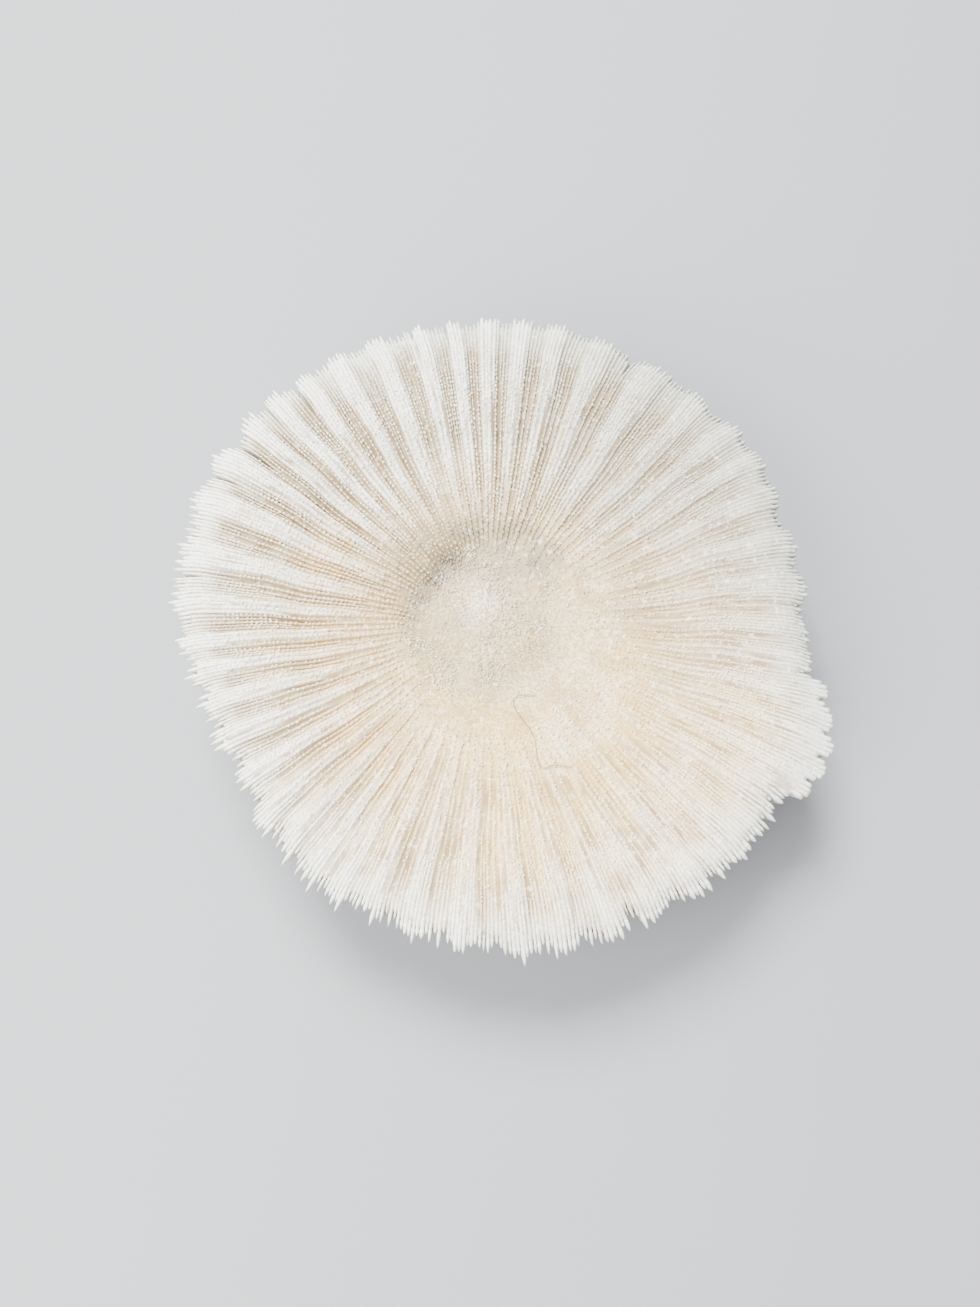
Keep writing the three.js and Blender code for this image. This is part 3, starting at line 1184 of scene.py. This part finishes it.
def aragonite():
    """Chalky white, cream towards the scar, with tan stain in the troughs and grooves, and painted
    shade in the basin, in the grooves and towards the back right.
    """
    coral = Aragonite()
    colour = clean(coral)
    for layer in (painted_back_shade, stain_shade_and_lime, painted_shadows, gilded, speckled, grooved, flecked):
        colour = layer(coral, colour)
    coral.put(coral.shader.inputs["Base Color"], colour)
    coral.put(coral.shader.inputs["Roughness"], coral.remap(coral.clouds, 0.3, 0.7, 0.72, 0.92))
    coral.shader.inputs["Specular IOR Level"].default_value = 0.35
    relief = coral.new("ShaderNodeBump")
    relief.inputs["Strength"].default_value = 0.5
    relief.inputs["Distance"].default_value = PORE_DEPTH
    coral.put(relief.inputs["Height"], coral.noise(coral.where, PORES, 3.0, 0.65))
    coral.put(coral.shader.inputs["Normal"], relief.outputs["Normal"])
    return coral.material


def hair():
    """Brown and slightly glossy, a little lighter in places."""
    nodes = Nodes("hair")
    shade = nodes.noise(nodes.place(), 400.0)
    nodes.put(nodes.shader.inputs["Base Color"], nodes.mix(shade, HAIR, BROWN))
    nodes.shader.inputs["Roughness"].default_value = 0.45
    return nodes.material


# --- Studio, in metres ---

FLOOR_SIZE = 6.0
SKY_COLOUR, SKY_STRENGTH = (0.95, 0.97, 1.0, 1), 0.85
# (width, power in watts, place)
SOFTBOXES = {
    "key": (0.4, 40.0, (-0.2, 0.48, 0.8)),
    "fill": (0.35, 6.4, (-0.25, -0.22, 0.34)),
}
CAMERA_ELEVATION = 74  # degrees
CAMERA_DISTANCE = 0.184
CAMERA_LENS = 27.5  # millimetres
CAMERA_CLIP = (0.01, 20)
CAMERA_AIM = (0.0004, -0.0067)  # of the middle of the picture, from the scar's centre
AIM_DEPTH = 0.003  # of the same point, below the top of the coral


def floor_material():
    nodes = Nodes("pale_floor")
    grain = nodes.noise(nodes.place(), 6.0)
    nodes.put(nodes.shader.inputs["Base Color"], nodes.mix(grain, FLOOR_DARK, FLOOR_LIGHT))
    nodes.shader.inputs["Roughness"].default_value = 0.8
    return nodes.material


def make_floor():
    bpy.ops.mesh.primitive_plane_add(size=FLOOR_SIZE)
    floor = bpy.context.object
    floor.name = "floor"
    floor.data.materials.append(floor_material())


def add_softbox(name, width, power, place, target):
    """A square area light that faces the target."""
    light = bpy.data.lights.new(name, "AREA")
    light.shape = "SQUARE"
    light.size = width
    light.energy = power
    holder = bpy.data.objects.new(name, light)
    holder.location = place
    holder.rotation_euler = (Vector(target) - Vector(place)).to_track_quat("-Z", "Y").to_euler()
    bpy.context.scene.collection.objects.link(holder)


def make_lights(target):
    world = bpy.data.worlds.new("studio")
    world.use_nodes = True
    sky = world.node_tree.nodes["Background"]
    sky.inputs["Color"].default_value = SKY_COLOUR
    sky.inputs["Strength"].default_value = SKY_STRENGTH
    bpy.context.scene.world = world
    for name, (width, power, place) in SOFTBOXES.items():
        add_softbox(name, width, power, place, target)


def make_camera(scar):
    rise = math.radians(CAMERA_ELEVATION)
    across, along = scar[0] + CAMERA_AIM[0], scar[1] + CAMERA_AIM[1]
    target = Vector((across, along, cad_high[2] - AIM_DEPTH))
    camera = bpy.data.cameras.new("camera")
    camera.lens = CAMERA_LENS
    camera.clip_start, camera.clip_end = CAMERA_CLIP
    holder = bpy.data.objects.new("camera", camera)
    back = Vector((0, -math.cos(rise), math.sin(rise)))
    holder.location = target + back * CAMERA_DISTANCE
    holder.rotation_euler = (-back).to_track_quat("-Z", "Y").to_euler()
    bpy.context.scene.collection.objects.link(holder)
    bpy.context.scene.camera = holder


scar_centre = to_frame(np.array([[0.0, 0.0, SCAR_HEIGHT]]))[0]
make_camera(scar_centre)
make_lights(tuple(scar_centre))
make_floor()
coral_material = aragonite()
make_body(coral_material)
make_scar_granules(coral_material)
make_ribs(coral_material)
make_mouth_septa(coral_material)
hair_material = hair()
for fibre_name, fibre_points in FIBRES.items():
    make_fibre(fibre_name, fibre_points, hair_material)
